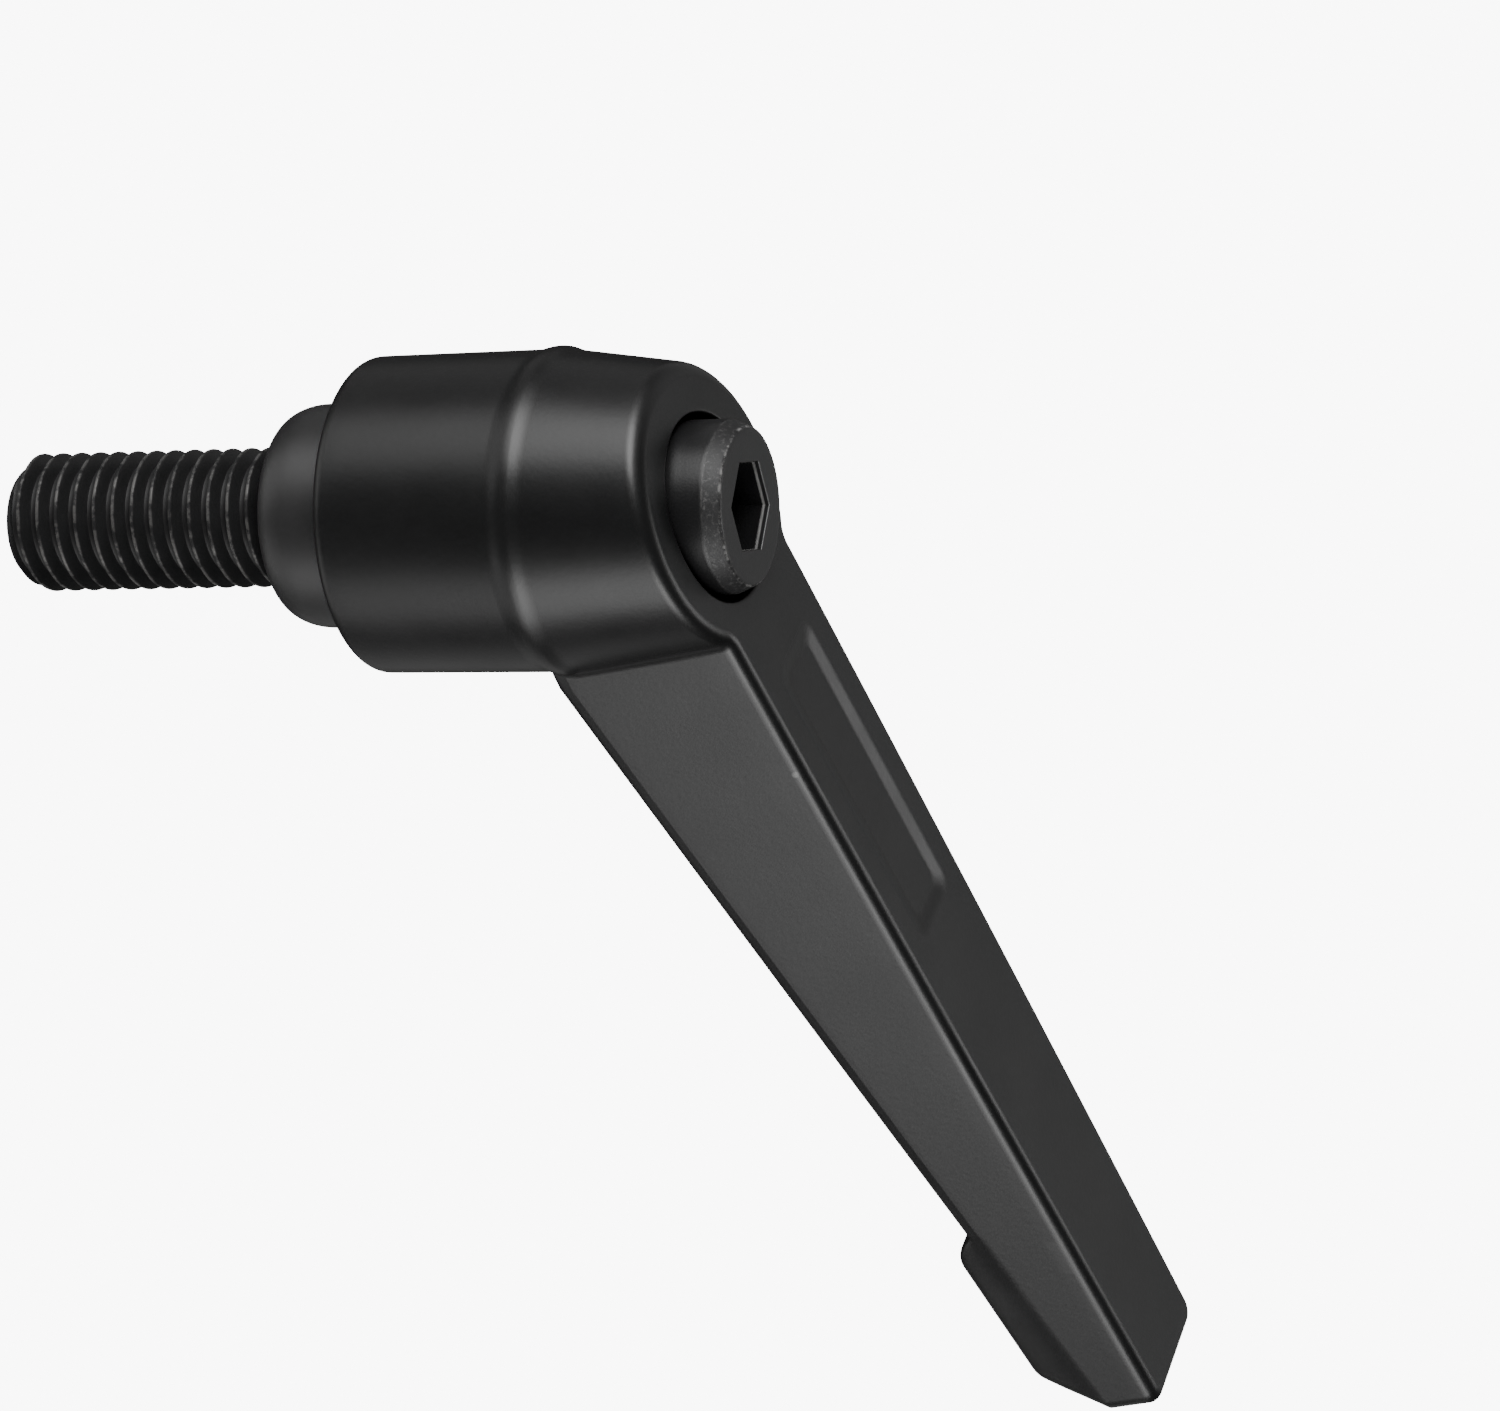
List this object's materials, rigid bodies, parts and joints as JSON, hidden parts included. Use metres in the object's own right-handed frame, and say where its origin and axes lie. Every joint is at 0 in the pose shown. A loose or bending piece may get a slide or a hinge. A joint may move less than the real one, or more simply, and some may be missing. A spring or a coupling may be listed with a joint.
{
  "type": "clamping lever",
  "caption": "Adjustable clamping lever: die-cast handle with a sloping arm, toothed steel insert, threaded stud and sprung retaining screw.",
  "frame": {"origin": "centre of the insert's lower seating face, on the axis of the stud", "axes": "+Z along the stud's axis from the stud towards the screw's head, +X from the axis towards the arm's end, +Y completes the right-handed set; the part is drawn symmetric about the XZ plane"},
  "size_m": [0.0915, 0.023, 0.0692],
  "materials": {
    "handle_coating": "satin black powder coating on zinc",
    "insert_steel": "smooth black oxide",
    "stud_steel": "black oxide, worn bright on the thread's crests",
    "screw_steel": "black oxide, worn on the head's edge",
    "spring_steel": "drawn spring wire"
  },
  "bodies": {
    "insert": {"toothed_insert": "insert_steel", "threaded_stud": "stud_steel", "retaining_screw": "screw_steel"},
    "spring": {"return_spring": "spring_steel"},
    "handle": {"handle": "handle_coating"}
  },
  "joints": [
    {"name": "index", "type": "hinge", "parent": "insert", "child": "spring", "pos_m": [0, 0, 0], "axis": [0, 0, 1], "continuous": true},
    {"name": "lift", "type": "slide", "parent": "spring", "child": "handle", "axis": [0, 0, 1], "range_m": [0, 0.0046], "stiffness_N_per_m": 2600, "springref_m": -0.003, "deforming": ["return_spring"]}
  ]
}
